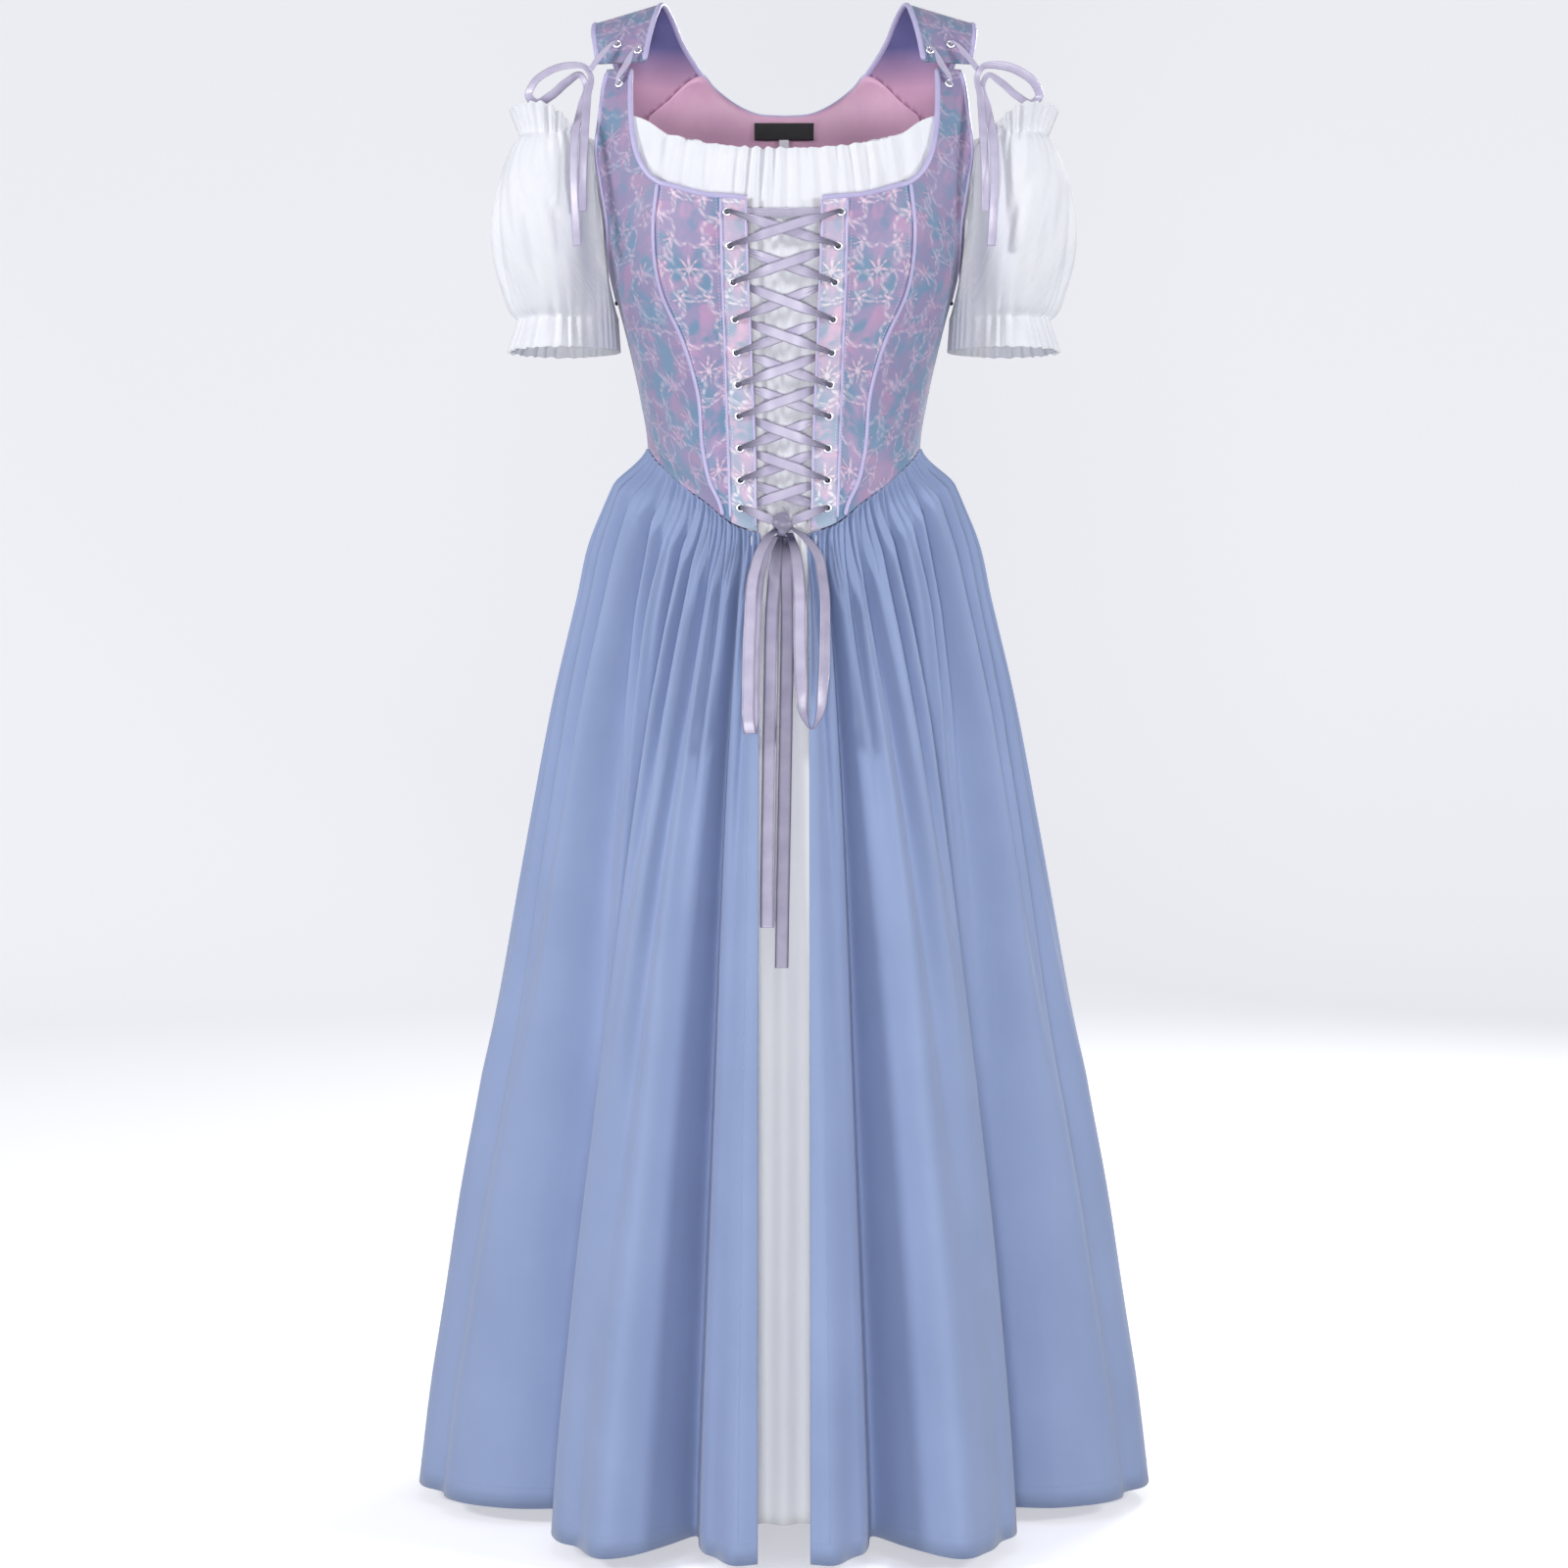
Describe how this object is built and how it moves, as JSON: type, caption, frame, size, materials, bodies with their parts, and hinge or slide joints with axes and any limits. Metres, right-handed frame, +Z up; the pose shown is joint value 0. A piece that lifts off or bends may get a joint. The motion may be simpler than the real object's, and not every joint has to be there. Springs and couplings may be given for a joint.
{
  "type": "corset dress",
  "caption": "Laced bodice with shoulder straps, white puff sleeves and blouse front, and a long gathered skirt open over a white panel.",
  "frame": {"origin": "midway between the two shoulder straps, at shoulder height, where the wearer holds the dress", "axes": "+Z up along the dress towards the shoulders, -Y out of the laced front, +X to the right as seen from the front"},
  "size_m": [0.6982, 0.635, 1.4217],
  "materials": {
    "brocade": "lilac and steel-blue floral jacquard, satin face",
    "satin_binding": "lilac satin bias binding and piping",
    "lining_cloth": "pink satin lining",
    "label_cloth": "bare black woven label",
    "eyelet_metal": "bright nickel eyelets",
    "ribbon_satin": "lilac-grey satin ribbon",
    "white_cloth": "white poplin, soft and slightly sheer",
    "skirt_cloth": "periwinkle-blue soft twill"
  },
  "bodies": {
    "root": {"armhole_binding_left": "satin_binding", "armhole_binding_right": "satin_binding", "back_bodice": "brocade", "back_lining": "lining_cloth", "back_neck_binding": "satin_binding", "blouse_front": "white_cloth", "bow_knot": "ribbon_satin", "bow_loop_left": "ribbon_satin", "bow_loop_right": "ribbon_satin", "bow_tail_long": "ribbon_satin", "bow_tail_short": "ribbon_satin", "eyelet_left_01": "eyelet_metal", "eyelet_left_02": "eyelet_metal", "eyelet_left_03": "eyelet_metal", "eyelet_left_04": "eyelet_metal", "eyelet_left_05": "eyelet_metal", "eyelet_left_06": "eyelet_metal", "eyelet_left_07": "eyelet_metal", "eyelet_left_08": "eyelet_metal", "eyelet_left_09": "eyelet_metal", "eyelet_left_10": "eyelet_metal", "eyelet_right_01": "eyelet_metal", "eyelet_right_02": "eyelet_metal", "eyelet_right_03": "eyelet_metal", "eyelet_right_04": "eyelet_metal", "eyelet_right_05": "eyelet_metal", "eyelet_right_06": "eyelet_metal", "eyelet_right_07": "eyelet_metal", "eyelet_right_08": "eyelet_metal", "eyelet_right_09": "eyelet_metal", "eyelet_right_10": "eyelet_metal", "front_panel_left": "brocade", "front_panel_right": "brocade", "lace_left": "ribbon_satin", "lace_right": "ribbon_satin", "neck_binding_left": "satin_binding", "neck_binding_right": "satin_binding", "neck_label": "label_cloth", "placket_left": "brocade", "placket_right": "brocade", "princess_piping_left": "satin_binding", "princess_piping_right": "satin_binding", "shoulder_bow_left": "ribbon_satin", "shoulder_bow_right": "ribbon_satin", "shoulder_eyelet_left_1": "eyelet_metal", "shoulder_eyelet_left_2": "eyelet_metal", "shoulder_eyelet_left_3": "eyelet_metal", "shoulder_eyelet_right_1": "eyelet_metal", "shoulder_eyelet_right_2": "eyelet_metal", "shoulder_eyelet_right_3": "eyelet_metal", "shoulder_lace_left": "ribbon_satin", "shoulder_lace_right": "ribbon_satin", "side_front_left": "brocade", "side_front_right": "brocade", "skirt_back": "skirt_cloth", "skirt_front_left": "skirt_cloth", "skirt_front_right": "skirt_cloth", "sleeve_left": "white_cloth", "sleeve_right": "white_cloth", "underskirt_panel": "white_cloth"}
  },
  "joints": []
}
